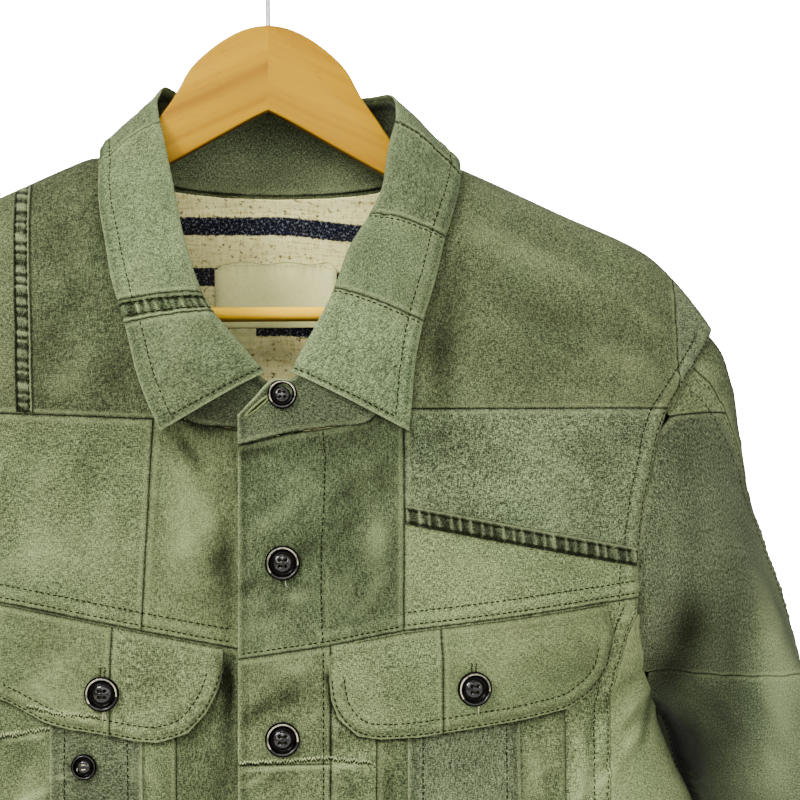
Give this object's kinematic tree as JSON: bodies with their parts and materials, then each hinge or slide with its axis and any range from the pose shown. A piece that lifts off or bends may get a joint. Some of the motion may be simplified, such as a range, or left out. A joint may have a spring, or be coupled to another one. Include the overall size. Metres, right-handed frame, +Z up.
{
  "type": "patchwork jacket on a hanger",
  "caption": "Buttoned patchwork jacket of washed green canvas with flapped chest pockets and a striped lining, hanging hollow from a wooden hanger with a wire hook.",
  "frame": {"origin": "inside top of the hanger's hook, where the rail carries it", "axes": "+Z up, +X to the wearer's left (right in the picture), the front faces -Y"},
  "size_m": [0.6874, 0.1606, 0.8517],
  "materials": {
    "canvas_olive": "washed, faded olive-brown cotton canvas, matt",
    "canvas_sage": "washed sage-green cotton canvas, matt",
    "canvas_leaf": "washed pale leaf-green cotton canvas, matt",
    "canvas_moss": "washed moss-green cotton canvas, matt",
    "canvas_grey_green": "washed grey-green cotton canvas, matt",
    "canvas_straw_green": "faded, yellowed green cotton canvas, matt",
    "striped_lining": "cream slub cotton with woven navy stripes",
    "label_cloth": "bare cream woven tape",
    "dark_button": "dark horn-like button, glossy rim",
    "lacquered_wood": "honey-coloured wood, clear lacquer",
    "steel_wire": "bright plated steel wire"
  },
  "bodies": {
    "root": {"back_left": "canvas_sage", "back_right": "canvas_grey_green", "back_yoke": "canvas_olive", "button_flap_left": "dark_button", "button_flap_right": "dark_button", "button_front_1": "dark_button", "button_front_2": "dark_button", "button_front_3": "dark_button", "button_front_4": "dark_button", "button_front_5": "dark_button", "button_pocket_right": "dark_button", "button_stand": "dark_button", "collar_back": "canvas_leaf", "collar_left_middle": "canvas_leaf", "collar_left_tip": "canvas_leaf", "collar_left_upper": "canvas_leaf", "collar_right_fell": "canvas_leaf", "collar_right_tip": "canvas_leaf", "collar_right_upper": "canvas_leaf", "collar_stand": "canvas_moss", "flap_left_inner": "canvas_sage", "flap_left_outer": "canvas_straw_green", "flap_right_inner": "canvas_sage", "flap_right_outer": "canvas_straw_green", "front_left_bust": "canvas_sage", "front_left_centre": "canvas_leaf", "front_left_chest": "canvas_grey_green", "front_left_fell": "canvas_moss", "front_left_lower": "canvas_sage", "front_left_placket_low": "canvas_sage", "front_left_placket_mid": "canvas_sage", "front_left_shoulder": "canvas_olive", "front_left_shoulder_tip": "canvas_moss", "front_left_side": "canvas_straw_green", "front_right_chest_in": "canvas_straw_green", "front_right_chest_out": "canvas_sage", "front_right_fell": "canvas_moss", "front_right_lower": "canvas_sage", "front_right_shoulder_in": "canvas_olive", "front_right_shoulder_out": "canvas_olive", "front_right_side": "canvas_straw_green", "hanger_bar": "lacquered_wood", "hanger_frame": "lacquered_wood", "hanger_hook": "steel_wire", "label": "label_cloth", "lining_back": "striped_lining", "pocket_left": "canvas_sage", "pocket_left_pleat": "canvas_moss", "pocket_right": "canvas_sage", "pocket_right_pleat": "canvas_moss", "size_tab": "label_cloth", "sleeve_left_back": "canvas_olive", "sleeve_left_cap": "canvas_olive", "sleeve_left_cuff": "canvas_sage", "sleeve_left_lower": "canvas_grey_green", "sleeve_left_upper": "canvas_moss", "sleeve_right_back": "canvas_olive", "sleeve_right_cuff": "canvas_sage", "sleeve_right_front": "canvas_moss"}
  },
  "joints": []
}
